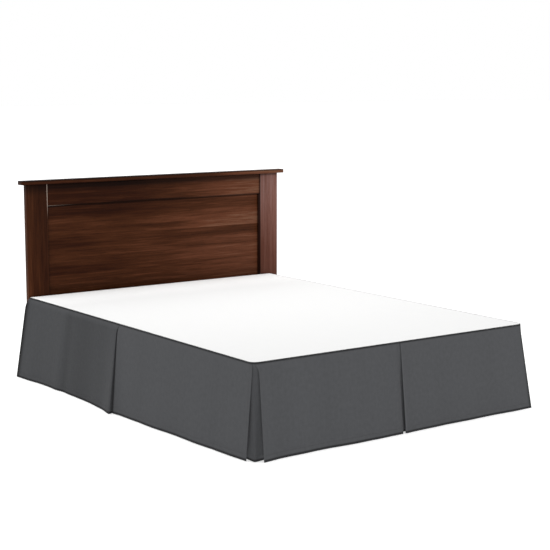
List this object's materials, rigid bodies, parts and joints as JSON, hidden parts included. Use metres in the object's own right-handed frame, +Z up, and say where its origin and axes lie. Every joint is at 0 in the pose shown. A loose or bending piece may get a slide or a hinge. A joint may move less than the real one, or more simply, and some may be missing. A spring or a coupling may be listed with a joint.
{
  "type": "bed skirt on a bed",
  "caption": "Tailored bed skirt: a deck cloth with flat drops, inverted pleats and split corners with inserts, on a box spring, steel frame and wooden headboard.",
  "frame": {"origin": "on the floor, under the centre of the whole object's box", "axes": "+Y towards the headboard, +X towards the bed's right side as seen from its foot, +Z up"},
  "size_m": [1.7133, 2.122, 1.01],
  "materials": {
    "skirt_cloth": "matt charcoal microfibre weave",
    "deck_cloth": "matt white plain weave",
    "ticking": "matt off-white ticking",
    "frame_steel": "black powder coat",
    "glide_plastic": "matt black",
    "headboard_wood": "dark brown stain, satin varnish"
  },
  "bodies": {
    "root": {"deck": "deck_cloth", "drop_left": "skirt_cloth", "drop_foot": "skirt_cloth", "drop_right": "skirt_cloth", "corner_insert_left": "skirt_cloth", "corner_insert_right": "skirt_cloth", "box_spring": "ticking", "side_rail_left": "frame_steel", "side_rail_right": "frame_steel", "head_bracket_left": "frame_steel", "head_bracket_right": "frame_steel", "cross_rail_head": "frame_steel", "cross_rail_middle": "frame_steel", "cross_rail_foot": "frame_steel", "leg_head_left": "frame_steel", "leg_head_centre": "frame_steel", "leg_head_right": "frame_steel", "leg_middle_left": "frame_steel", "leg_middle_centre": "frame_steel", "leg_middle_right": "frame_steel", "leg_foot_left": "frame_steel", "leg_foot_centre": "frame_steel", "leg_foot_right": "frame_steel", "glide_head_left": "glide_plastic", "glide_head_centre": "glide_plastic", "glide_head_right": "glide_plastic", "glide_middle_left": "glide_plastic", "glide_middle_centre": "glide_plastic", "glide_middle_right": "glide_plastic", "glide_foot_left": "glide_plastic", "glide_foot_centre": "glide_plastic", "glide_foot_right": "glide_plastic", "post_left": "headboard_wood", "post_right": "headboard_wood", "headboard_cap": "headboard_wood", "headboard_top_rail": "headboard_wood", "headboard_panel": "headboard_wood", "headboard_low_rail": "headboard_wood"}
  },
  "joints": []
}
